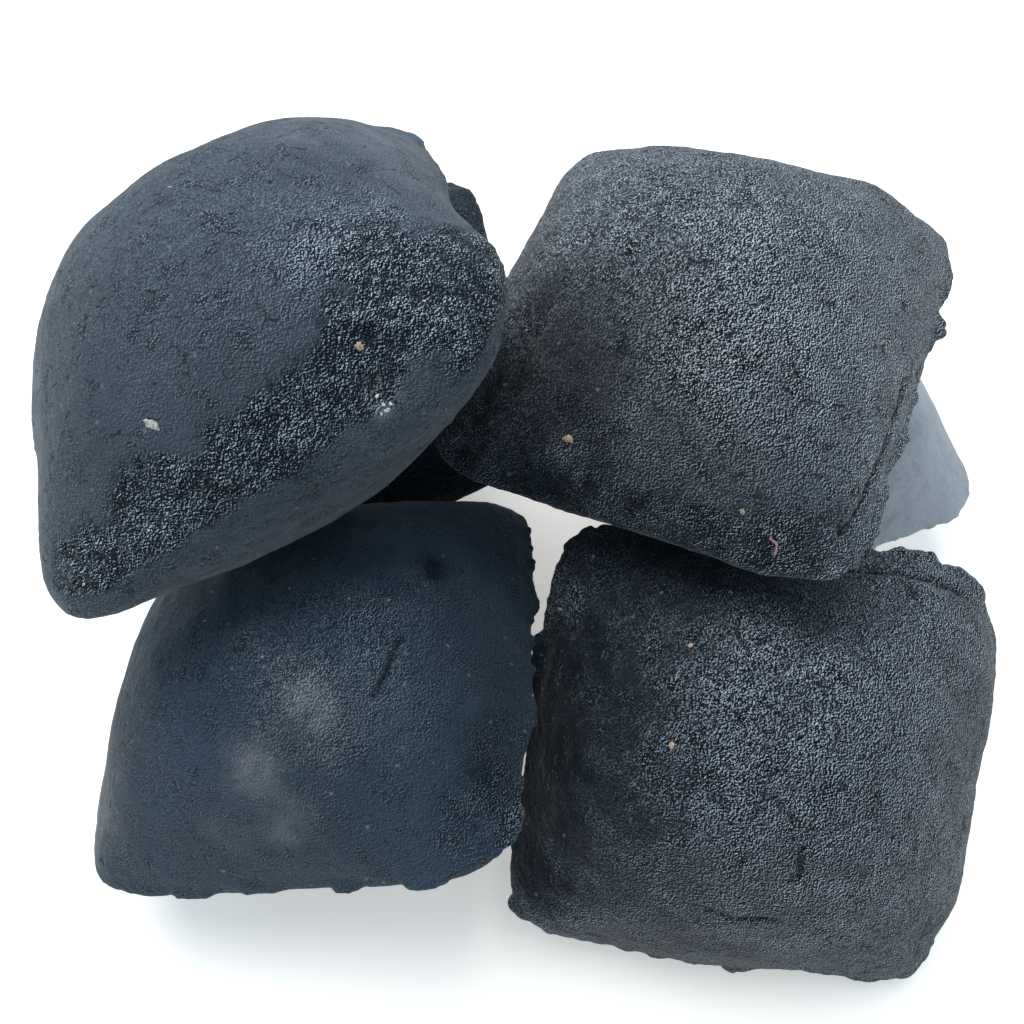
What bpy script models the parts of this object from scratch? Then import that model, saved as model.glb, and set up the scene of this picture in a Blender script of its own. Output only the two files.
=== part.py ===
"""A small heap of six pillow-shaped barbecue charcoal briquettes.

Every briquette is one pressed body: two domed halves that meet at a seam, where a thin lip of
pressed charcoal stays on. Four briquettes lie on the ground and two rest on top of them.
Metres, +Z up. The ground is z = 0 and the origin is on it, under the middle of the heap.
"""

import math

import bmesh
import bpy
from mathutils import Euler, Matrix, Vector

# The mould's pocket
PLAN_POWER = 6.8         # superellipse power of the square plan with its round corners
CROWN_POWER = 2.2        # how flat the crown is before it falls away
CROWN_FALL = 0.75        # how steeply the dome meets the seam
LIP_HEIGHT = 0.0012      # pressed lip along the seam, top to bottom
LIP_PROUD = 0.0005       # how far that lip stands out
CELLS = 14               # mesh cells across one dome, each way

GROUND = 0.0             # height of the surface that the heap lies on
SHARP_ANGLE = math.radians(35)

CHARCOAL = (0.078, 0.100, 0.127, 1.0)
CHARCOAL_ROUGHNESS = 0.88
CHARCOAL_METALLIC = 0.0

# One line for each briquette: length, width and thickness in millimetres, then its centre in
# millimetres, then its turn in degrees about the fixed X, Y and Z axes. The press closes a
# little more or less each time, so the thickness differs most.
HEAP = {
    "rear_centre_briquette": ((50.5, 47.5, 35.0), (-29.1, 25.1, 19.5), (17.5, -32.0, 1.0)),
    "rear_right_briquette": ((50.5, 47.5, 34.0), (31.3, 22.5, 16.7), (4.5, -9.0, 112.0)),
    "front_left_briquette": ((50.5, 47.5, 37.2), (-28.6, -22.2, 18.5), (-4.0, -15.5, -1.5)),
    "front_right_briquette": ((50.5, 47.5, 34.0), (21.1, -30.8, 18.2), (34.5, 3.5, -7.0)),
    "top_left_briquette": ((51.6, 48.6, 36.8), (-33.3, 1.8, 50.1), (-11.0, -25.0, 22.0)),
    "top_right_briquette": ((50.5, 47.5, 34.0), (14.5, 7.1, 45.9), (4.0, 8.0, -114.0)),
}


def clear_scene():
    for thing in list(bpy.data.objects):
        bpy.data.objects.remove(thing, do_unlink=True)


def charcoal(name):
    """Matte pressed charcoal, blue-grey in daylight."""
    material = bpy.data.materials.new(name)
    material.use_nodes = True
    shader = material.node_tree.nodes["Principled BSDF"]
    shader.inputs["Base Color"].default_value = CHARCOAL
    shader.inputs["Roughness"].default_value = CHARCOAL_ROUGHNESS
    shader.inputs["Metallic"].default_value = CHARCOAL_METALLIC
    return material


def plan_point(across, along):
    """Where a point of the -1..1 square lands on the briquette's rounded plan, in -1..1."""
    reach = max(abs(across), abs(along))
    if reach == 0.0:
        return 0.0, 0.0
    round_reach = (abs(across) ** PLAN_POWER + abs(along) ** PLAN_POWER) ** (1.0 / PLAN_POWER)
    shrink = reach / round_reach
    return across * shrink, along * shrink


def dome_height(across, along, crown):
    """Height of one domed half above its lip: the crown's at the middle, nothing at the seam."""
    fall = (1.0 - abs(across) ** CROWN_POWER) * (1.0 - abs(along) ** CROWN_POWER)
    return crown * max(fall, 0.0) ** CROWN_FALL


def dome(mesh, size, side):
    """One domed half as rows of vertices; side is +1 for the upper half, -1 for the lower."""
    length, width, thickness = size
    crown = (thickness - LIP_HEIGHT) / 2
    steps = [math.sin(math.pi / 2 * (2 * i / CELLS - 1)) for i in range(CELLS + 1)]
    rows = []
    for along in steps:
        row = []
        for across in steps:
            u, v = plan_point(across, along)
            z = side * (LIP_HEIGHT / 2 + dome_height(across, along, crown))
            row.append(mesh.verts.new((u * length / 2, v * width / 2, z)))
        rows.append(row)
    for low, high in zip(rows, rows[1:]):
        for i in range(CELLS):
            corners = [low[i], low[i + 1], high[i + 1], high[i]]
            mesh.faces.new(corners if side > 0 else corners[::-1])
    return rows


def border(rows):
    """The vertices round the edge of a dome, counter-clockwise from above."""
    front = rows[0][:-1]
    right = [row[-1] for row in rows[:-1]]
    back = rows[-1][:0:-1]
    left = [row[0] for row in rows[:0:-1]]
    return front + right + back + left


def outward(x, y, size):
    """Direction straight out of the plan's outline at a point on it."""
    length, width, _ = size
    u, v = 2 * x / length, 2 * y / width
    slope_x = math.copysign(abs(u) ** (PLAN_POWER - 1), u) / length
    slope_y = math.copysign(abs(v) ** (PLAN_POWER - 1), v) / width
    return Vector((slope_x, slope_y, 0.0)).normalized()


def lip_ring(mesh, edge, size, height):
    """One edge of the seam's lip: a dome's border pushed out of the plan, at a height."""
    ring = []
    for vertex in edge:
        place = vertex.co + outward(vertex.co.x, vertex.co.y, size) * LIP_PROUD
        ring.append(mesh.verts.new((place.x, place.y, height)))
    return ring


def join_rings(mesh, lower, upper):
    """A closed band of faces between two rings of vertices, facing out."""
    for i, corner in enumerate(lower):
        following = (i + 1) % len(lower)
        mesh.faces.new([corner, lower[following], upper[following], upper[i]])


def flatten_underside(mesh, placed):
    """Wear the briquette flat where it lies on the ground."""
    to_local = placed.inverted()
    ground_point = to_local @ Vector((0.0, 0.0, GROUND))
    ground_up = (to_local.to_3x3() @ Vector((0.0, 0.0, 1.0))).normalized()
    everything = mesh.verts[:] + mesh.edges[:] + mesh.faces[:]
    cut = bmesh.ops.bisect_plane(
        mesh, geom=everything, dist=1e-7, plane_co=ground_point, plane_no=ground_up,
        clear_inner=True)
    open_edges = [item for item in cut["geom_cut"] if isinstance(item, bmesh.types.BMEdge)]
    if open_edges:
        bmesh.ops.edgeloop_fill(mesh, edges=open_edges)


def briquette(name, size_mm, centre_mm, turn_deg):
    size = Vector(size_mm) * 0.001
    centre = Vector(centre_mm) * 0.001
    turn = Euler([math.radians(angle) for angle in turn_deg], "XYZ")

    mesh = bmesh.new()
    upper = border(dome(mesh, size, +1))
    lower = border(dome(mesh, size, -1))
    lip_low = lip_ring(mesh, lower, size, -LIP_HEIGHT / 4)
    lip_high = lip_ring(mesh, upper, size, LIP_HEIGHT / 4)
    join_rings(mesh, lower, lip_low)
    join_rings(mesh, lip_low, lip_high)
    join_rings(mesh, lip_high, upper)
    flatten_underside(mesh, Matrix.Translation(centre) @ turn.to_matrix().to_4x4())
    bmesh.ops.recalc_face_normals(mesh, faces=mesh.faces[:])

    data = bpy.data.meshes.new(name)
    mesh.to_mesh(data)
    mesh.free()
    data.shade_smooth()
    data.set_sharp_from_angle(angle=SHARP_ANGLE)
    data.materials.append(charcoal(name))
    body = bpy.data.objects.new(name, data)
    body.location = centre
    body.rotation_euler = turn
    bpy.context.collection.objects.link(body)


def main():
    clear_scene()
    for name, (size_mm, centre_mm, turn_deg) in HEAP.items():
        briquette(name, size_mm, centre_mm, turn_deg)


main()
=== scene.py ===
"""Looks for a heap of six pillow-shaped barbecue charcoal briquettes.

Each briquette's plain CAD solid is replaced by a finely modelled one of the same size and place:
a pressed dome on each side of a ragged seam, with dents, pits, cracks and worn, crumbly patches
in the mesh, and the grain of the charcoal in its material, with painted light and shade on the
grain, painted shade in hollows and shaded places and painted sheen on some limbs. Small flecks
of husk, chip, grit, fibre and salt-white grain are pressed into the skin as pieces of their own.
Lengths inside a briquette are in millimetres. Colours are linear red, green and blue.
"""

import itertools
import math

import bmesh
import bpy
import numpy as np
from mathutils import Euler, Matrix, Vector

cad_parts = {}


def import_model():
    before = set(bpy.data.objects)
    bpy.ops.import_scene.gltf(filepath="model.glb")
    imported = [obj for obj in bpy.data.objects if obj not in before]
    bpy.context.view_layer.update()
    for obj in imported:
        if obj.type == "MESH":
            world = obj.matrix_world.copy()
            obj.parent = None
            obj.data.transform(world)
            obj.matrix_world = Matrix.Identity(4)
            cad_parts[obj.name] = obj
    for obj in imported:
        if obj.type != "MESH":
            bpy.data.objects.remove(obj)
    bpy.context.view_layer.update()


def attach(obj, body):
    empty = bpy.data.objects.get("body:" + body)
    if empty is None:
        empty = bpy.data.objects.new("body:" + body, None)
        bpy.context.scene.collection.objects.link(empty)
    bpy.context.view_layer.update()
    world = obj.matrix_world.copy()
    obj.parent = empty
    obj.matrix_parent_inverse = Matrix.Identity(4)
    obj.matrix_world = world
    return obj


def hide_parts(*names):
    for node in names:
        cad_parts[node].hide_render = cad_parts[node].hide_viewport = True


MM = 0.001

# The mould's pocket, as in the CAD
PLAN_POWER = 6.8
CROWN_POWER = 2.2
CROWN_FALL = 0.75
LIP_HEIGHT = 1.2
CORNER_TUCK = 12         # how late the rounded corners are drawn down to the seam
CELLS = 200              # mesh cells across one dome, each way

# Where the camera stands: it looks at a spot on the ground, from this far and this steeply
AIM = Vector((-0.00615, 0.01495, 0.0))
CAMERA_DISTANCE = 0.1469
CAMERA_ELEVATION = math.radians(55.38)
CAMERA_LENS = 32.72      # millimetres, on a 36 mm sensor

# Relief of the pressed body in millimetres: height, then spacing of the bumps
BROAD_SWELL = (0.30, 17.0)
DENT = (0.20, 7.0)
RIPPLE = (0.10, 2.8)
WORN_SWELL = (0.15, 3.5)
FOLD = (0.07, 1.1)       # long wrinkles beside the seam
GRIT_SPACING = 1.1       # the finest relief, higher where the skin is sandy or worn
CRUMBLE_SPACING = 1.5
FOLD_STRETCH = 0.2       # how much folds are drawn out along the seam

# Torn edge of the lip in millimetres: spacing of its lumps, flakes and teeth
LUMP_SPACING = 4.6
FLAKE_SPACING = 2.1
TOOTH_SPACING = 1.2

# Colours of the skin besides each briquette's own body and glint, its painted highlight
GRAIN_SHADE = (0.001, 0.003, 0.006, 1)      # painted shade between the grains
HOLLOW_SHADE = (0.002, 0.006, 0.010, 1)        # painted shade in cracks, pits and deep crumbling
# Painted shade in pinholes and nicks
PINHOLE_SHADE = (0.004, 0.010, 0.016, 1)
NICK_SHADE = (0.006, 0.013, 0.020, 1)
SCUFF = (0.008, 0.016, 0.025, 1)
WORN_BODY = (0.009, 0.018, 0.028, 1)
BLOTCH = (0.017, 0.028, 0.041, 1)
WARM_BODY = (0.033, 0.035, 0.039, 1)
# Painted shade: the body and the dimmed glints where the briquette lies in shade
PAINTED_SHADE_BODY = (0.001, 0.004, 0.008, 1)
PAINTED_SHADE_GLINT = (0.03, 0.05, 0.07, 1)
DULL_GLINT = (0.09, 0.12, 0.15, 1)       # painted highlights on grains where the skin is smooth
WARM_GLINT = (0.56, 0.56, 0.58, 1)
# Pale layer colours, cool and warm: pale dust, and painted sheen and painted light
COOL_DUST_AND_SHEEN = (0.23, 0.25, 0.28, 1)
WARM_DUST_AND_SHEEN = (0.27, 0.26, 0.245, 1)
CRUMB = (0.40, 0.43, 0.47, 1)
FLECK_DUST = (0.10, 0.09, 0.08, 1)

# Spacing of the patterns in the skin, in millimetres
DRIFT_SPACING = 14.0     # slow change of the body's colour
BLOTCH_SPACING = 4.0
CLUMP_SPACING = 1.1
SCUFF_SPACING = 3.2
DELL_SPACING = 2.6       # dark hollows in worn places
NICK_SPACING = 2.8
NICK_PATCH_SPACING = 1.7
CRUMB_SPACING = 2.4
PINHOLE_SPACING = 1.9

# Grain of the charcoal, with painted light and shade: a grain is painted lit or shaded by how
# it differs from the spot beside it
GRAIN_SPACING = 0.21
GRAIN_BESIDE = (0.065, -0.04, -0.05)
BUMP_HEIGHT = 0.5
FLECK_BUMP_HEIGHT = 0.1

# The studio, in metres
FLOOR_HALF_SIDE = 2.0
FLOOR_DROP = 0.00002     # keeps the floor just clear of the flat undersides
LAMP_PLACE = (-0.12, 0.22, 0.75)
LAMP_SIZE = 0.7
LAMP_POWER = 5.4
LAMP_COLOUR = (1.0, 0.96, 0.92)
WALL_COLOUR = (0.66, 0.86, 1.0, 1)


class Briquette:
    """One briquette's size, place and finish. Sides go round the plan: +X, +Y, -X, -Y.

    Swells and tabs are places with a radius and a height. The painted layers (sandy, worn, warm,
    pale and the painted shade) are a base value and strokes: a place, a radius and how much the
    stroke adds. The painted shade layer darkens where the briquette lies in shade.
    """

    def __init__(self, name, size, centre, turn, seed, body, ragged, sandy, worn=(0, ()),
                 warm=(0, ()), pale=(0, ()), painted_shade=(0, ()), marks=1.0, glint=(0.66, 0.73, 0.81),
                 swells=(), tabs=(), cracks=(), pits=(), flecks=()):
        self.name = name
        self.size = size          # length, width, thickness
        self.centre = centre
        self.turn = turn          # degrees about the fixed X, Y and Z axes
        self.seed = seed
        self.body = body          # colour of the smooth skin
        self.glint = glint        # colour of the painted highlights on the grains
        self.marks = marks        # how plain its scuffs, nicks and holes are
        self.ragged = ragged      # how far the torn seam stands out on each of the four sides
        self.painted = {"sandy": sandy, "worn": worn, "warm": warm, "pale": pale, "painted_shade": painted_shade}
        self.swells = swells
        self.tabs = tabs
        self.cracks = cracks      # each a list of points, then width and depth
        self.pits = pits          # each a point, a radius and a depth
        self.flecks = flecks      # each a point, a sort and a length

    def turned(self):
        """Its turn as a matrix, which takes points on its own axes to the heap's axes."""
        turn = Euler([math.radians(angle) for angle in self.turn], "XYZ")
        return np.array(turn.to_matrix())


BRIQUETTES = [
    Briquette(
        "rear_centre_briquette", (50.5, 47.5, 35.0), (-29.1, 25.1, 19.5), (17.5, -32.0, 1.0),
        seed=11, body=(0.016, 0.027, 0.040), ragged=(0.3, 0.5, 0.5, 0.3), sandy=(0.3, ()),
        # Painted shade over the whole briquette, which lies in deep shade at the back of the heap
        painted_shade=(0.5, ())),
    Briquette(
        "rear_right_briquette", (50.5, 47.5, 34.0), (31.3, 22.5, 16.7), (4.5, -9.0, 112.0),
        seed=12, body=(0.40, 0.44, 0.49), ragged=(0.4, 0.3, 0.4, 0.3), sandy=(0.05, ()),
        marks=0.15),
    Briquette(
        "front_left_briquette", (50.5, 47.5, 37.2), (-28.6, -22.2, 18.5), (-4.0, -15.5, -1.5),
        seed=13, body=(0.031, 0.056, 0.083), glint=(0.52, 0.64, 0.77), marks=0.6,
        ragged=(0.8, 0.3, 0.05, 0.3),
        sandy=(0.14, [((10, -8, 16), 9, 0.25), ((14, -2, 14), 7, 0.15), ((0, -24, 3), 10, -0.08),
                      ((-20, -12, 8), 10, -0.12), ((4, 8, 17), 10, -0.15)]),
        worn=(0, [((24, -14, 3), 6, 0.35), ((22, -19, 2), 5, 0.35)]),
        warm=(0, [((-22, -10, 6), 13, 0.7), ((0, -23, 4), 10, 0.4), ((6, -13, 14), 6, 0.4)]),
        # Pale dust smudges on the top and at -Y, and painted sheen along the -X edge
        pale=(0, [((6.9, -11.8, 15.0), 2.8, 0.40), ((1.2, -16.7, 12), 3.6, 0.38),
                  ((3.4, -20.5, 7.5), 2.8, 0.25), ((-4.0, -21.5, 7.5), 3.0, 0.12),
                  ((-24, -12, 3), 9, 0.40), ((-24, 2, 3), 9, 0.32),
                  ((10, -9, 15), 5, 0.08), ((3, 12, 14), 15, 0.16)]),
        # Painted shade under the top left briquette, by the gap on the +X side and in a pit
        painted_shade=(0, [((-12, 12, 13), 9, 0.2), ((23, -15, 4), 6, 0.55), ((24, -6, 3), 6, 0.3),
                  ((17.6, 6.3, 11.6), 2.0, 0.4)]),
        tabs=[((-10, -24, 0), 2.6, 0.6), ((7, -24, 0.3), 2.4, 0.55), ((15.5, -24, 0.4), 2.8, 0.7),
              ((25, 8, -0.8), 3.0, 0.5), ((25, -2, 0), 2.4, 0.45)],
        cracks=[([(15.8, -3.0, 13.7), (15.0, -5.5, 13.7), (14.6, -7.0, 13.5), (13.4, -10.0, 13.2)],
                 0.3, 0.8)],
        pits=[((17.6, 6.3, 11.6), 2.0, 0.5), ((-20.6, -18.9, 2.8), 0.9, 0.5),
              ((22.5, -15.0, 4.5), 2.2, 0.5)],
        flecks=[((-4.9, 1.5, 18.2), "grit", 0.45), ((4.5, 0.6, 18.3), "grit", 0.4),
                ((10.4, -0.4, 16.6), "grit", 0.45), ((14.2, 0.2, 14.6), "grit", 0.5),
                ((-4.7, -2.2, 18.2), "grit", 0.4), ((2.8, -6.8, 17.6), "grit", 0.4)]),
    Briquette(
        "front_right_briquette", (50.5, 47.5, 34.0), (21.1, -30.8, 18.2), (34.5, 3.5, -7.0),
        seed=14, body=(0.024, 0.032, 0.042), glint=(0.58, 0.65, 0.73), marks=1.2,
        ragged=(0.35, 0.9, 0.7, 0.6),
        sandy=(0.72, [((0, 21, 5), 9, -0.2), ((-8, -20, 8), 12, -0.30), ((-22, -5, 6), 11, -0.45),
                      ((-15, 20, 5), 11, -0.5), ((-20, 6, 8), 10, -0.3), ((8, 2, 16), 13, 0.1),
                      ((20, 5, 8), 7, -0.2)]),
        warm=(0.1, [((-5, -20, 8), 12, 0.5)]),
        # Painted shade on the -X side in the gap to its neighbour, along the +Y side under the top
        # right briquette, along the underside at -Y, and a little all over
        painted_shade=(0.15, [((-26, 6, 2), 8, 0.7), ((-26, -6, 2), 8, 0.7), ((-25, -15, 2), 8, 0.7),
                     ((-20, 4, 8), 12, 0.28), ((-19, -8, 8), 12, 0.28), ((-12, 22, 4), 10, 0.4),
                     ((2, 22, 4), 10, 0.3), ((-4, -24, 3), 12, 0.35), ((14, -22, 3), 11, 0.35)]),
        swells=[((24, 10, 3), 10, 0.8), ((24, -18, 0), 8, -1.6), ((-22, -19, 1), 9, 0.9),
                ((-2, -24, 0), 14, 0.7), ((16, 23, 0), 10, 0.6)],
        cracks=[([(-4.2, 0.0, 16.7), (-1.6, -0.4, 16.9), (0.4, -2.4, 16.8)], 0.3, 0.35),
                ([(-7.0, -13.0, 12.6), (-3.0, -14.3, 12.8), (1.0, -13.2, 13.4)], 0.3, 0.35),
                ([(1.6, -5.0, 16.5), (2.0, -8.0, 15.9)], 0.3, 0.35),
                ([(3, 22.4, 3.6), (11, 22.3, 3.4), (18, 21.7, 3.0), (22, 20.4, 2.6)], 0.5, 0.5)],
        tabs=[((8, 24, 0.5), 4.0, 0.7), ((15, 24, 0.3), 3.5, 0.9), ((21, 23, 0.3), 3.0, 0.6)],
        flecks=[((-11.6, 2.8, 14.6), "chip", 0.7), ((-10.7, 12.3, 12.1), "chip", 0.55),
                ((-24.2, 13.4, 2.5), "grit", 0.6), ((-20.5, 19.1, 2.3), "grit", 0.5),
                ((-6.9, 18.4, 8.9), "grit", 0.5)]),
    Briquette(
        "top_left_briquette", (51.6, 48.6, 36.8), (-33.3, 1.8, 50.1), (-11.0, -25.0, 22.0),
        seed=15, body=(0.062, 0.082, 0.106), glint=(0.60, 0.72, 0.86), marks=0.85,
        ragged=(0.12, 0.2, 0.05, 0.05),
        sandy=(0.24, [((17.5, -12, 9.5), 5, 0.35), ((6, -15, 12), 6, 0.1), ((13, -12, 12), 6, 0.2),
                      ((-14, -10, 12), 9, -0.1), ((20, 6, 9), 9, -0.1), ((0, -24, -4), 12, -0.12)]),
        worn=(0, [((-21, -21.5, 2.6), 3.5, 0.8), ((-16.5, -22, 3.8), 3.8, 1),
                  ((-11, -22.6, 4.2), 4.2, 1), ((-6, -22.6, 4.2), 4.2, 1),
                  ((-0.8, -22.6, 4.2), 4.0, 1), ((4.6, -22.6, 4.4), 4.4, 1),
                  ((10.6, -21.8, 5.2), 4.8, 1), ((15.9, -20.0, 6.0), 5.2, 1),
                  ((19.5, -16.5, 6.5), 4.6, 1), ((22.5, -16, 3.4), 5.0, 1),
                  ((25, -14, 0.5), 4.5, 0.9), ((22, -21, 1), 4.0, 0.9),
                  ((18.5, -12.5, 8.8), 3.0, 0.7)]),
        # Painted sheen on the limbs at +X and -X, a painted highlight on a small patch by the seam,
        # and faint pale patches
        pale=(0, [((12.4, -23.4, 2.6), 1.9, 0.9), ((16, -11, 11), 3.5, 0.12),
                  ((20, 5, 9), 10, 0.30), ((-22, 0, 7), 11, 0.32),
                  ((-12, 4, 15), 9, 0.12)]),
        # Painted shade on the underside along the -Y side, which faces down
        painted_shade=(0, [((-12, -25, -4), 9, 0.35), ((2, -25, -4), 9, 0.35), ((15, -25, -5), 9, 0.35),
                  ((24, -14, -6), 8, 0.3)]),
        swells=[((20, 4, 9), 15, 1.4), ((24, -12, 4), 8, 1.0), ((26, -23, 0), 7, -2.0),
                ((-23.5, -19, 1), 10, 0.8), ((-25, -13, 2), 9, 0.6), ((26, 1, 0), 7, -1.0),
                ((25.5, -12, 0), 7, 0.8)],
        tabs=[((25.5, 16.7, 0.6), 3.0, 0.4)],
        pits=[((12.2, -22.6, 4.2), 1.5, 0.4), ((14.6, -20.2, 6.6), 1.2, 0.35)],
        flecks=[((-5.4, -18.7, 9.9), "husk", 1.4), ((13.6, -20.7, 6.3), "chip", 0.85),
                ((5.2, -0.2, 18.0), "grit", 0.5), ((12.2, -24.0, 1.5), "salt", 0.5),
                ((12.9, -23.8, 1.9), "salt", 0.35), ((12.0, -23.7, 2.4), "salt", 0.4),
                ((11.5, -24.0, 1.6), "salt", 0.3), ((12.6, -23.3, 3.0), "salt", 0.35),
                ((11.9, -23.4, 3.2), "salt", 0.25), ((19.5, -18.2, 4.4), "salt", 0.3),
                ((-20.5, -22.0, 2.5), "salt", 0.3), ((-12.0, -22.8, 4.0), "salt", 0.25)]),
    Briquette(
        "top_right_briquette", (50.5, 47.5, 34.0), (14.5, 7.1, 45.9), (4.0, 8.0, -114.0),
        seed=16, body=(0.046, 0.057, 0.072), marks=1.2, ragged=(0.35, 0.6, 0.2, 0.2),
        sandy=(0.6, [((4, 11, 14), 13, 0.2), ((11, 7, 14), 8, 0.2), ((13, -7, 13), 9, -0.25),
                     ((21, 8, 7), 9, -0.2), ((18, -9, 9), 9, -0.25), ((24, -4, 2), 6, 0.3)]),
        warm=(0.1, [((18, -4, 10), 14, 0.7)]),
        worn=(0, [((24, -9, 2), 4.5, 0.6), ((25, -2, 1.5), 4.5, 0.7), ((25, 6, 1.5), 4.5, 0.7),
                  ((24.5, 13, 2), 4.5, 0.7), ((22, 18, 2.5), 4.5, 0.6)]),
        # Painted sheen along the +Y side and a little painted light on the top
        pale=(0, [((-4, 21, 6), 9, 0.12), ((8, 20, 6), 7, 0.10), ((-10, 0, 16), 8, 0.05)]),
        # Painted shade on the shaded flank along the +X side and at the -Y side
        painted_shade=(0, [((25, -15, 1), 10, 0.7), ((26, -2, 0), 8, 0.45), ((26, 8, 0), 7, 0.25),
                  ((24, 17, 2), 8, 0.15), ((18, -4, 9), 13, 0.2), ((16, -9, 10), 9, 0.3),
                  ((12, -23, 4), 10, 0.5)]),
        swells=[((-17, -20, 4), 8, 0.7), ((-21, 13, 5), 7, 0.8)],
        tabs=[((-9.5, 24, 0.5), 2.6, 1.0)],
        cracks=[([(10.0, -15.0, 10.4), (12.6, -13.6, 10.6), (14.0, -13.4, 9.8)], 0.35, 0.5),
                ([(2, 22.3, 3.6), (10, 22.4, 3.2), (17, 21.9, 2.8), (20, 21.0, 2.4)], 0.4, 0.45)],
        pits=[((24.0, -17.0, 1.6), 2.2, 0.8)],
        flecks=[((21.6, -6.3, 6.8), "chip", 1.0), ((22.5, 11.6, 5.0), "chip", 0.6),
                ((23.5, 15.8, 2.8), "fibre", 1.5), ((6.7, 19.2, 8.1), "grit", 0.6)]),
]


# ---------------------------------------------------------------- noise

# Large odd numbers that scramble whole-number cells
CELL_FACTORS = (374761393, 668265263, 1440662683)
SEED_FACTOR = 974711
STIR_FACTORS = ((13, 1274126177), (15, 668265263))


def hashed(cells, seed):
    """A repeatable number in -1..1 for each whole-number cell."""
    h = seed * SEED_FACTOR + sum(cells[:, axis] * CELL_FACTORS[axis] for axis in range(3))
    for shift, factor in STIR_FACTORS:
        h = (h ^ (h >> shift)) * factor
    return ((h >> 9) & 0xFFFF) / 32768.0 - 1.0


def smooth_noise(points, spacing, seed):
    """Gradient noise in about -1..1 with bumps about one spacing apart."""
    scaled = points / spacing + seed * 7.31
    cell = np.floor(scaled).astype(np.int64)
    inside = scaled - cell
    fade = inside ** 3 * (inside * (inside * 6 - 15) + 10)
    total = np.zeros(len(points))
    for corner in itertools.product((0, 1), repeat=3):
        at = cell + corner
        away = inside - corner
        slope = sum(hashed(at, seed * 3 + axis) * away[:, axis] for axis in range(3))
        weight = np.prod(np.where(corner, fade, 1 - fade), axis=1)
        total += weight * slope
    return total * 1.6


def relief(points, shape, seed):
    """Gradient noise of a shape's height and spacing."""
    height, spacing = shape
    return height * smooth_noise(points, spacing, seed)


def layered_noise(points, spacing, seed, layers=3, fall=0.5):
    """Gradient noise with finer and weaker layers of itself on top."""
    total = np.zeros(len(points))
    strength = 1.0
    for layer in range(layers):
        total += strength * smooth_noise(points, spacing / 2 ** layer, seed + layer * 17)
        strength *= fall
    return total


def scattered_spots(points, spacing, seed, share):
    """1 at the middle of round spots strewn over some cells, falling to 0 at their edges."""
    scaled = points / spacing
    cell = np.floor(scaled).astype(np.int64)
    best = np.zeros(len(points))
    for step in itertools.product((-1, 0, 1), repeat=3):
        at = cell + step
        middle = at + 0.5 + 0.35 * np.stack([hashed(at, seed + axis) for axis in range(3)], axis=1)
        radius = 0.28 + 0.17 * hashed(at, seed + 5)
        here = (hashed(at, seed + 9) + 1) / 2 < share
        near = 1 - np.linalg.norm(scaled - middle, axis=1) / radius
        best = np.maximum(best, np.where(here, near, 0))
    return smoothstep(0, 0.7, best)


def smoothstep(low, high, value):
    """0 at low and 1 at high with an even start and end; low may be the larger one."""
    t = np.clip((value - low) / (high - low), 0, 1)
    return t * t * (3 - 2 * t)


# ---------------------------------------------------------------- the pressed body

def even_steps(rise):
    """Steps from -1 to 1 that lie evenly along a dome's profile of that rise."""
    fine = np.linspace(-1, 1, 8001)
    height = rise * (1 - np.abs(fine) ** CROWN_POWER) ** CROWN_FALL
    along = np.concatenate([[0], np.cumsum(np.hypot(np.diff(fine), np.diff(height)))])
    return np.interp(np.linspace(0, along[-1], CELLS + 1), along, fine)


def pillow(size):
    """Vertices in millimetres and quads of the two domes, which share the seam's vertices."""
    length, width, thickness = size
    steps = even_steps(thickness / length)
    u, v = np.meshgrid(steps, steps)
    reach = np.maximum(np.abs(u), np.abs(v))
    rounded = (np.abs(u) ** PLAN_POWER + np.abs(v) ** PLAN_POWER) ** (1 / PLAN_POWER)
    shrink = np.where(reach > 0, reach / np.maximum(rounded, 1e-9), 0)
    x, y = np.abs(u * shrink), np.abs(v * shrink)
    crown = np.clip(1 - x ** CROWN_POWER, 0, None) * np.clip(1 - y ** CROWN_POWER, 0, None)
    tuck = np.clip(1 - reach ** CORNER_TUCK, 1e-9, None) / np.clip(
        (1 - x ** CORNER_TUCK) * (1 - y ** CORNER_TUCK), 1e-9, None)
    height = (thickness / 2) * crown ** CROWN_FALL * np.minimum(tuck, 1) ** 0.5
    height[[0, -1], :] = 0
    height[:, [0, -1]] = 0
    top = np.stack([u * shrink * length / 2, v * shrink * width / 2, height], axis=-1)

    side = CELLS + 1
    number = np.arange(side * side).reshape(side, side)
    inner = np.zeros((side, side), bool)
    inner[1:-1, 1:-1] = True
    below = number.copy()
    below[inner] = side * side + np.arange(inner.sum())
    points = np.concatenate([top.reshape(-1, 3), top[inner] * (1, 1, -1)])

    def quads(grid):
        return np.stack([grid[:-1, :-1], grid[:-1, 1:], grid[1:, 1:], grid[1:, :-1]], -1)

    faces = np.concatenate([quads(number).reshape(-1, 4), quads(below).reshape(-1, 4)[:, ::-1]])
    return points, faces


def vertex_normals(points, faces):
    """Unit normals out of the briquette, one for each point."""
    corners = points[faces]
    across = np.cross(corners[:, 2] - corners[:, 0], corners[:, 3] - corners[:, 1])
    normals = np.zeros_like(points)
    for corner in range(4):
        np.add.at(normals, faces[:, corner], across)
    return normals / np.maximum(np.linalg.norm(normals, axis=1, keepdims=True), 1e-12)


def plan_outward(points, size):
    """Unit direction out of the plan's outline, for every point."""
    u = 2 * points[:, 0] / size[0]
    v = 2 * points[:, 1] / size[1]
    out = np.stack([np.sign(u) * np.abs(u) ** (PLAN_POWER - 1) / size[0],
                    np.sign(v) * np.abs(v) ** (PLAN_POWER - 1) / size[1],
                    np.zeros(len(points))], axis=1)
    return out / np.maximum(np.linalg.norm(out, axis=1, keepdims=True), 1e-12)


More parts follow.
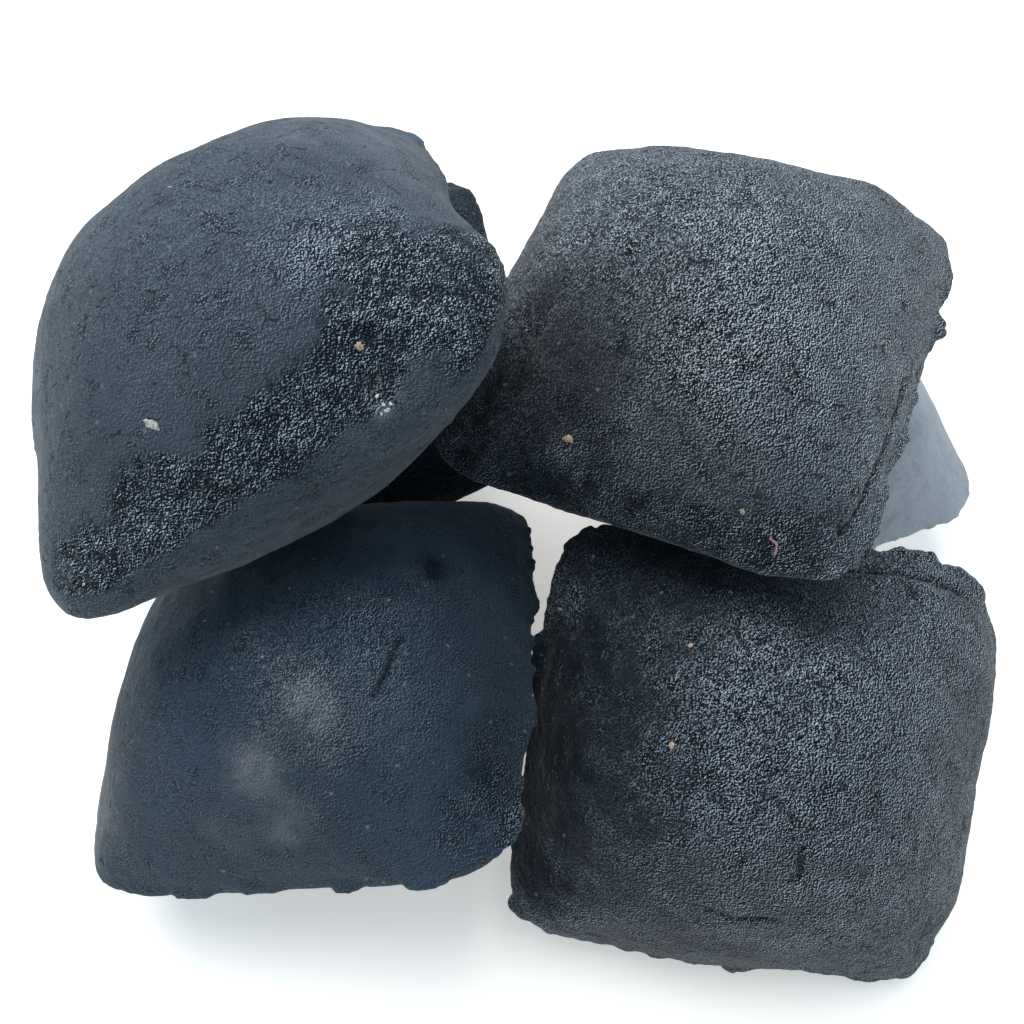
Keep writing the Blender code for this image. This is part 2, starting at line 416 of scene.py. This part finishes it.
def along_seam(points, outward):
    """The points drawn together along the seam, for noise that runs in long folds beside it."""
    across = np.abs(outward[:, 0]) > np.abs(outward[:, 1])
    return points * np.where(across[:, None], (1, FOLD_STRETCH, 1), (FOLD_STRETCH, 1, 1))


def distance_to_path(points, path):
    """Distance from every point to a chain of straight stretches."""
    best = np.full(len(points), 1e9)
    for start, end in zip(path, path[1:]):
        start, end = np.array(start), np.array(end)
        run = end - start
        t = np.clip((points - start) @ run / (run @ run), 0, 1)
        best = np.minimum(best, np.linalg.norm(points - start - t[:, None] * run, axis=1))
    return best


# Where a stroke starts to fade in and where it is full, in shares of its radius
STROKE_EDGES = {"worn": (1.3, 0.65), "sandy": (1.6, 0.2), "warm": (1.5, 0.3), "pale": (1.4, 0.3),
                "painted_shade": (1.6, 0.1)}


def painted(kind, points, layer):
    """One painted layer's value at every point, its strokes having ragged edges."""
    base, strokes = kind.painted[layer]
    value = np.full(len(points), float(base))
    if not strokes:
        return value
    edge = 0.30 * layered_noise(points, 6.0, kind.seed + 40, layers=5, fall=0.7)
    for place, radius, amount in strokes:
        away = np.linalg.norm(points - place, axis=1) / radius + edge
        value += amount * smoothstep(*STROKE_EDGES[layer], away)
    return np.clip(value, 0, 1)


def seam_reach(kind, points, outward):
    """How far the torn lip stands out beyond the plan at each point of the seam."""
    # How much each point belongs to each of the four sides
    share = np.stack([np.clip(outward[:, 0], 0, 1), np.clip(outward[:, 1], 0, 1),
                      np.clip(-outward[:, 0], 0, 1), np.clip(-outward[:, 1], 0, 1)], axis=1) ** 2
    side = share @ np.array(kind.ragged)
    flat = points * (1, 1, 0.35)
    lumps = smoothstep(0.0, 0.55, smooth_noise(flat, LUMP_SPACING, kind.seed + 60))
    flakes = smoothstep(0.05, 0.4, smooth_noise(flat, FLAKE_SPACING, kind.seed + 62)) * 0.5
    teeth = np.abs(smooth_noise(flat, TOOTH_SPACING, kind.seed + 61)) * 0.3
    reach = 0.12 * smoothstep(0, 0.3, side) + side * (lumps + flakes + teeth)
    for place, radius, height in kind.tabs:
        away = np.linalg.norm(points - place, axis=1) * (1 + 0.5 * smooth_noise(flat, 1.3, 5))
        reach += height * smoothstep(radius, radius * 0.35, away)
    return reach


def sculpted(kind):
    """The briquette's points in millimetres round its centre, its quads and painted layers."""
    points, faces = pillow(kind.size)
    normals = vertex_normals(points, faces)
    outward = plan_outward(points, kind.size)
    layers = {layer: painted(kind, points, layer) for layer in kind.painted}
    # Wear stays on the upper half, and runs down over the seam only towards the +X end.
    skin_edge = 0.8 - 2.0 * smoothstep(14, 20, points[:, 0])
    layers["worn"] *= smoothstep(skin_edge, skin_edge + 1.4, points[:, 2])
    worn, sandy = layers["worn"], layers["sandy"]
    seed = kind.seed

    # The pressed body's relief, from broad to fine
    rise = relief(points, BROAD_SWELL, seed) + relief(points, DENT, seed + 1)
    rise += relief(points, RIPPLE, seed + 2)
    grit = layered_noise(points, GRIT_SPACING, seed + 3, layers=2)
    rise += (0.025 + 0.05 * sandy + 0.05 * worn) * grit

    # Wear, which takes some skin off and leaves a crumbled surface
    crumbled = np.abs(layered_noise(points, CRUMBLE_SPACING, seed + 4))
    rise += worn * (0.34 * crumbled - 0.42 + relief(points, WORN_SWELL, seed + 9))
    # Painted shade in the deepest crumbling
    hollow_shade = 0.9 * worn * smoothstep(0.22, 0.04, crumbled)

    # Folds, which fade away from the seam
    fold_height, fold_spacing = FOLD
    folds = layered_noise(along_seam(points, outward), fold_spacing, seed + 11, layers=2)
    rise += fold_height * folds * smoothstep(9, 2, np.abs(points[:, 2]))

    # Small and larger pits, then low bumps, then the briquette's own swells
    rise -= (0.10 + 0.10 * sandy) * scattered_spots(points, 2.2, seed + 5, 0.16)
    rise -= (0.15 + 0.15 * worn) * scattered_spots(points, 4.5, seed + 6, 0.16)
    rise += 0.10 * scattered_spots(points, 3.1, seed + 7, 0.12)
    for place, radius, height in kind.swells:
        rise += height * smoothstep(1, 0, np.linalg.norm(points - place, axis=1) / radius)

    wander = 0.2 * layered_noise(points, 1.5, seed + 8)
    # Cracks and pits are cut into the body, and painted shade is laid in them
    for path, width, depth in kind.cracks:
        away = np.abs(distance_to_path(points, path) + wander)
        rise -= depth * np.exp(-(away / width) ** 2)
        hollow_shade = np.maximum(hollow_shade, np.exp(-(away / (0.7 * width)) ** 2))
    for place, radius, depth in kind.pits:
        away = np.linalg.norm(points - place, axis=1) + radius * 2 * wander
        rise -= depth * smoothstep(radius, radius * 0.4, away)
        hollow_shade = np.maximum(hollow_shade, 0.6 * smoothstep(radius, radius * 0.4, away))
    layers["hollow_shade"] = hollow_shade

    lip_level = 0.45 * smooth_noise(points * (1, 1, 0), 6.0, seed + 10)
    lip = np.exp(-((points[:, 2] - lip_level) / (LIP_HEIGHT * 0.62)) ** 2)
    seam = seam_reach(kind, points, outward)
    moved = points + normals * rise[:, None] + outward * (seam * lip)[:, None]

    # The underside is worn flat where it lies on the ground.
    moved = moved @ kind.turned().T
    moved[:, 2] = np.maximum(moved[:, 2], -kind.centre[2])
    return moved, faces, layers


def add_float_layer(mesh, name, values):
    """Store a painted layer on the mesh, where its material reads it by name."""
    layer = mesh.attributes.new(name, "FLOAT", "POINT")
    layer.data.foreach_set("value", np.ascontiguousarray(values, dtype=np.float32))


def mesh_from(name, points, faces):
    """A smooth-shaded mesh in metres from points in millimetres and quads."""
    mesh = bpy.data.meshes.new(name)
    mesh.vertices.add(len(points))
    mesh.vertices.foreach_set("co", (points * MM).astype(np.float32).ravel())
    mesh.loops.add(faces.size)
    mesh.loops.foreach_set("vertex_index", faces.astype(np.int32).ravel())
    mesh.polygons.add(len(faces))
    mesh.polygons.foreach_set("loop_start", np.arange(0, faces.size, 4, dtype=np.int32))
    mesh.update(calc_edges=True)
    mesh.validate()
    mesh.shade_smooth()
    return mesh


def link(name, mesh, kind):
    """Put a piece at its briquette's centre and let it ride there."""
    thing = bpy.data.objects.new(name, mesh)
    thing.location = Vector(kind.centre) * MM
    bpy.context.scene.collection.objects.link(thing)
    bpy.context.view_layer.update()
    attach(thing, kind.name)
    return thing


# ---------------------------------------------------------------- flecks pressed into the skin

# Length, width and thickness of each sort as shares of its length, and its colour
FLECKS = {
    "husk": ((1.0, 0.52, 0.16), (0.52, 0.50, 0.46)),
    "chip": ((1.0, 0.75, 0.35), (0.50, 0.36, 0.25)),
    "grit": ((1.0, 0.6, 0.3), (0.30, 0.32, 0.33)),
    "fibre": ((1.0, 0.16, 0.16), (0.52, 0.22, 0.30)),
    "salt": ((1.0, 0.7, 0.4), (0.72, 0.76, 0.82)),
}


def fleck_mesh(kind, points, faces):
    """Every fleck of one briquette in one mesh, each lying in the skin at its place."""
    mesh = bmesh.new()
    tint = mesh.verts.layers.float_color.new("tint")
    normals = vertex_normals(points, faces)
    for number, (place, sort, length) in enumerate(kind.flecks):
        shape, colour = FLECKS[sort]
        spot = np.argmin(np.linalg.norm(points - kind.turned() @ np.array(place), axis=1))
        up = Vector(normals[spot])
        spin = Matrix.Rotation(2.4 * number + 0.6 * kind.seed, 3, "Z")
        lie = up.to_track_quat("Z", "Y").to_matrix() @ spin
        made = bmesh.ops.create_icosphere(mesh, subdivisions=3, radius=1.0)["verts"]
        ball = np.array([v.co for v in made])
        rough = 1 + 0.55 * smooth_noise(ball * (1, 1, 0.3), 0.6, kind.seed * 7 + number)
        shade = 1 + 0.5 * smooth_noise(ball, 0.5, kind.seed * 5 + number)
        for vertex, at, grow, dim in zip(made, ball, rough, shade):
            body = Vector(at * np.array(shape)) * grow * length / 2
            if sort == "fibre":
                body.y += 0.35 * length * at[0] ** 2
            vertex.co = (Vector(points[spot]) + lie @ body) * MM
            vertex[tint] = (colour[0] * dim, colour[1] * dim, colour[2] * dim, 1)
    data = bpy.data.meshes.new(kind.name + "_flecks")
    mesh.to_mesh(data)
    mesh.free()
    data.shade_smooth()
    return data


# ---------------------------------------------------------------- materials

class Nodes:
    """A material's node tree with short calls for the nodes that the skins use."""

    def __init__(self, name):
        self.material = bpy.data.materials.new(name)
        self.material.use_nodes = True
        self.tree = self.material.node_tree
        self.shader = self.tree.nodes["Principled BSDF"]

    def add(self, kind, inputs=None, **settings):
        node = self.tree.nodes.new(kind)
        for key, value in settings.items():
            setattr(node, key, value)
        for key, value in (inputs or {}).items():
            self.feed(node.inputs[key], value)
        return node

    def feed(self, socket, value):
        if isinstance(value, bpy.types.NodeSocket):
            self.tree.links.new(value, socket)
        else:
            socket.default_value = value

    def coordinates(self):
        """Position on the briquette, in millimetres."""
        place = self.add("ShaderNodeTexCoord").outputs["Object"]
        scaled = self.add("ShaderNodeVectorMath", {0: place, "Scale": 1 / MM}, operation="SCALE")
        return scaled.outputs["Vector"]

    def noise(self, where, spacing, detail=2.0, roughness=0.5):
        """Noise in 0..1 with bumps about one spacing apart."""
        inputs = {"Vector": where, "Scale": 1 / spacing, "Detail": detail, "Roughness": roughness}
        return self.add("ShaderNodeTexNoise", inputs).outputs["Fac"]

    def cells(self, where, spacing, **settings):
        """Distance in a pattern of scattered cells, in shares of the spacing."""
        inputs = {"Vector": where, "Scale": 1 / spacing}
        return self.add("ShaderNodeTexVoronoi", inputs, **settings).outputs["Distance"]

    def ramp(self, value, low, high, to_low=0.0, to_high=1.0):
        """A value between low and high turned into one between to_low and to_high."""
        inputs = {"Value": value, "From Min": low, "From Max": high,
                  "To Min": to_low, "To Max": to_high}
        return self.add("ShaderNodeMapRange", inputs, clamp=True).outputs["Result"]

    def math(self, operation, first, second=0.0):
        return self.add("ShaderNodeMath", {0: first, 1: second}, operation=operation).outputs[0]

    def times(self, first, second):
        return self.math("MULTIPLY", first, second)

    def plus(self, first, second):
        return self.math("ADD", first, second)

    def layer(self, name):
        """A painted layer of the mesh."""
        return self.add("ShaderNodeAttribute", attribute_name=name).outputs["Fac"]

    def mix(self, share, first, second):
        """The first colour with a share of the second one over it."""
        node = self.add("ShaderNodeMix", data_type="RGBA")
        self.feed(node.inputs[0], share)
        self.feed(node.inputs[6], first)
        self.feed(node.inputs[7], second)
        return node.outputs[2]

    def bump(self, height, strength, distance):
        """Bump the shader's surface by a height, in shares of a distance in millimetres."""
        inputs = {"Strength": strength, "Distance": distance * MM, "Height": height}
        node = self.add("ShaderNodeBump", inputs)
        self.feed(self.shader.inputs["Normal"], node.outputs[0])


def charcoal_skin(kind):
    """Fine sandy charcoal: blue-grey dusty skin with nicks and worn patches, navy painted shade in
    its hollows, nicks and pinholes and where it lies in shade, painted glints and shade on its
    grain, and painted sheen on some limbs.
    """
    n = Nodes(kind.name + "_skin")
    where = n.coordinates()
    shifted = n.add("ShaderNodeVectorMath", {0: where, 1: (kind.seed * 13.7,) * 3}).outputs[0]
    worn, sandy, warm = n.layer("worn"), n.layer("sandy"), n.layer("warm")
    pale, painted_shade = n.layer("pale"), n.layer("painted_shade")

    drift = n.noise(shifted, DRIFT_SPACING, detail=3)
    blotch = n.noise(shifted, BLOTCH_SPACING, detail=4, roughness=0.6)
    clump = n.noise(shifted, CLUMP_SPACING, detail=3, roughness=0.65)
    # The grain is painted lit or shaded by how much it differs from the spot beside it
    beside = n.add("ShaderNodeVectorMath", {0: shifted, 1: GRAIN_BESIDE}).outputs[0]
    sand = n.noise(shifted, GRAIN_SPACING, detail=1.5, roughness=0.6)
    sand_beside = n.noise(beside, GRAIN_SPACING, detail=1.5, roughness=0.6)
    grain = n.math("SUBTRACT", sand, sand_beside)

    # The grain's contrast comes and goes in patches, and worn and scuffed places lie darker.
    scuff = n.noise(shifted, SCUFF_SPACING, detail=4, roughness=0.7)
    scuff = n.ramp(scuff, 0.54, 0.62, 0, kind.marks)
    patch = n.times(n.ramp(blotch, 0.35, 0.68, 0.7, 1.15), n.ramp(clump, 0.3, 0.7, 0.8, 1.1))
    contrast = n.times(n.math("MAXIMUM", sandy, worn), patch)
    contrast = n.plus(contrast, n.times(scuff, 0.22))
    dell = n.noise(shifted, DELL_SPACING, detail=4, roughness=0.7)
    dell = n.times(worn, n.ramp(dell, 0.46, 0.58))
    gloom = n.plus(n.times(worn, 0.018), n.times(scuff, 0.030))
    gloom = n.plus(gloom, n.times(dell, 0.05))
    level = n.math("SUBTRACT", grain, gloom)
    strength = n.ramp(contrast, 0, 0.7, 0.12, 1)

    # The body's colour under the grain
    deeper = tuple(0.72 * part for part in kind.body) + (1,)
    body = n.mix(n.ramp(drift, 0.3, 0.7), deeper, (*kind.body, 1))
    body = n.mix(n.times(warm, 0.8), body, WARM_BODY)
    body = n.mix(n.ramp(blotch, 0.50, 0.75, 0, 0.35 * min(kind.marks, 1)), body, BLOTCH)
    body = n.mix(n.times(scuff, 0.6), body, SCUFF)
    body = n.mix(n.times(worn, 0.75), body, WORN_BODY)
    # Painted shade where the briquette lies in shade: in gaps, under its neighbours and on its
    # underside
    body = n.mix(painted_shade, body, PAINTED_SHADE_BODY)
    # Pale dust, and painted sheen and painted light, laid over the body
    dust_and_sheen = n.mix(warm, COOL_DUST_AND_SHEEN, WARM_DUST_AND_SHEEN)
    body = n.mix(n.times(pale, n.ramp(blotch, 0.35, 0.62, 0.15, 1.2)), body, dust_and_sheen)

    # Painted shade and painted highlights on the grains, standing in for light on their relief
    shaded = n.times(n.ramp(level, 0.0, -0.055), strength)
    colour = n.mix(shaded, body, GRAIN_SHADE)
    glow = n.mix(contrast, DULL_GLINT, (*kind.glint, 1))
    glow = n.mix(n.times(warm, 0.7), glow, WARM_GLINT)
    # Painted shade dims the glints too
    glow = n.mix(painted_shade, glow, PAINTED_SHADE_GLINT)
    lit = n.times(n.ramp(level, 0.040, 0.110), strength)
    colour = n.mix(lit, colour, glow)
    # Painted shade in cracks, pits and deep crumbling
    colour = n.mix(n.times(n.layer("hollow_shade"), 0.85), colour, HOLLOW_SHADE)

    # Short nicks, thin lines of painted shade that show only here and there; crumbs, and pinholes
    # with painted shade in them
    bend = n.add("ShaderNodeTexNoise", {"Vector": shifted, "Scale": 0.6, "Detail": 3.0})
    bent = n.add("ShaderNodeVectorMath", {0: bend.outputs["Color"], 1: (1.6,) * 3, 2: shifted},
                 operation="MULTIPLY_ADD").outputs[0]
    line = n.ramp(n.cells(bent, NICK_SPACING, feature="DISTANCE_TO_EDGE"), 0.010, 0.055, 1, 0)
    here = n.ramp(n.noise(shifted, NICK_PATCH_SPACING, detail=3), 0.55, 0.64, 0, kind.marks)
    nick = n.times(line, here)
    colour = n.mix(n.times(nick, 0.7), colour, NICK_SHADE)
    crumb = n.plus(n.cells(shifted, CRUMB_SPACING), n.times(sand, 0.25))
    crumb = n.ramp(crumb, 0.22, 0.17)
    colour = n.mix(n.times(crumb, 0.25), colour, CRUMB)
    hole = n.plus(n.cells(where, PINHOLE_SPACING), n.times(clump, 0.35))
    hole = n.ramp(hole, 0.26, 0.20, 0, kind.marks)
    colour = n.mix(n.times(hole, 0.9), colour, PINHOLE_SHADE)
    n.feed(n.shader.inputs["Base Color"], colour)

    rough = n.ramp(n.plus(n.times(sand, 0.6), n.times(blotch, 0.4)), 0.3, 0.7, 0.80, 0.95)
    n.feed(n.shader.inputs["Roughness"], rough)
    n.shader.inputs["Specular IOR Level"].default_value = 0.1
    n.shader.inputs["Sheen Weight"].default_value = 0.15
    n.shader.inputs["Sheen Roughness"].default_value = 0.45

    height = n.plus(n.times(sand, n.ramp(contrast, 0, 1, 0.05, 0.45)),
                    n.times(clump, n.ramp(contrast, 0, 1, 0.25, 0.6)))
    height = n.math("SUBTRACT", height, n.times(n.plus(nick, hole), 0.4))
    n.bump(height, strength=1.0, distance=BUMP_HEIGHT)
    return n.material


def fleck_skin():
    """Husk, chips, grit, fibre and salt-white grain: dry and a little mottled."""
    n = Nodes("flecks")
    tint = n.add("ShaderNodeAttribute", attribute_name="tint").outputs["Color"]
    mottle = n.noise(n.coordinates(), 0.2, detail=2)
    dusty = n.mix(n.ramp(mottle, 0.4, 0.65, 0, 0.55), tint, FLECK_DUST)
    n.feed(n.shader.inputs["Base Color"], dusty)
    n.shader.inputs["Roughness"].default_value = 0.75
    n.bump(mottle, strength=0.6, distance=FLECK_BUMP_HEIGHT)
    return n.material


# ---------------------------------------------------------------- room, lights and camera

def floor():
    """A wide, plain, pale floor under the heap, which glows a little to even out the shadows."""
    mesh = bmesh.new()
    bmesh.ops.create_grid(mesh, x_segments=2, y_segments=2, size=FLOOR_HALF_SIDE)
    data = bpy.data.meshes.new("floor")
    mesh.to_mesh(data)
    mesh.free()
    thing = bpy.data.objects.new("floor", data)
    thing.location.z = -FLOOR_DROP
    bpy.context.scene.collection.objects.link(thing)
    n = Nodes("pale_floor")
    n.shader.inputs["Base Color"].default_value = (0.95, 0.93, 0.91, 1)
    n.shader.inputs["Roughness"].default_value = 0.9
    n.shader.inputs["Specular IOR Level"].default_value = 0.2
    n.shader.inputs["Emission Color"].default_value = (1.0, 0.96, 0.90, 1)
    n.shader.inputs["Emission Strength"].default_value = 0.4
    data.materials.append(n.material)


def soft_light():
    """One large round lamp over the heap, behind it and to the left."""
    lamp = bpy.data.lights.new("overhead", "AREA")
    lamp.shape = "DISK"
    lamp.size = LAMP_SIZE
    lamp.energy = LAMP_POWER
    lamp.color = LAMP_COLOUR
    thing = bpy.data.objects.new("overhead", lamp)
    thing.location = LAMP_PLACE
    thing.rotation_euler = (AIM - Vector(LAMP_PLACE)).to_track_quat("-Z", "Y").to_euler()
    bpy.context.scene.collection.objects.link(thing)


def studio():
    """Pale walls of soft light all round, and the lamp."""
    world = bpy.data.worlds.new("studio")
    world.use_nodes = True
    tree = world.node_tree
    sky = tree.nodes["Background"]
    sky.inputs["Color"].default_value = WALL_COLOUR
    # The walls behind the heap are brighter than the ones in front of it.
    place = tree.nodes.new("ShaderNodeTexCoord")
    split = tree.nodes.new("ShaderNodeSeparateXYZ")
    fade = tree.nodes.new("ShaderNodeMapRange")
    tree.links.new(place.outputs["Generated"], split.inputs[0])
    tree.links.new(split.outputs["Y"], fade.inputs["Value"])
    for key, value in {"From Min": -0.8, "From Max": 0.8, "To Min": 0.40, "To Max": 1.0}.items():
        fade.inputs[key].default_value = value
    tree.links.new(fade.outputs["Result"], sky.inputs["Strength"])
    bpy.context.scene.world = world
    soft_light()
    bpy.context.scene.view_settings.view_transform = "Standard"


def camera():
    """Look down on the heap from the front, close by."""
    data = bpy.data.cameras.new("camera")
    data.lens = CAMERA_LENS
    data.sensor_width = 36.0
    data.clip_start = 0.005
    thing = bpy.data.objects.new("camera", data)
    back = Vector((0, -math.cos(CAMERA_ELEVATION), math.sin(CAMERA_ELEVATION)))
    thing.location = AIM + back * CAMERA_DISTANCE
    thing.rotation_euler = (AIM - thing.location).to_track_quat("-Z", "Y").to_euler()
    bpy.context.scene.collection.objects.link(thing)
    bpy.context.scene.camera = thing


def main():
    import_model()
    camera()
    studio()
    floor()
    fleck_material = fleck_skin()
    for kind in BRIQUETTES:
        points, faces, layers = sculpted(kind)
        mesh = mesh_from(kind.name + "_body", points, faces)
        for layer, values in layers.items():
            add_float_layer(mesh, layer, values)
        mesh.materials.append(charcoal_skin(kind))
        body = link(kind.name + "_body", mesh, kind)
        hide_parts(kind.name)
        if kind.flecks:
            flecks = fleck_mesh(kind, points, faces)
            flecks.materials.append(fleck_material)
            link(kind.name + "_flecks", flecks, kind)


main()
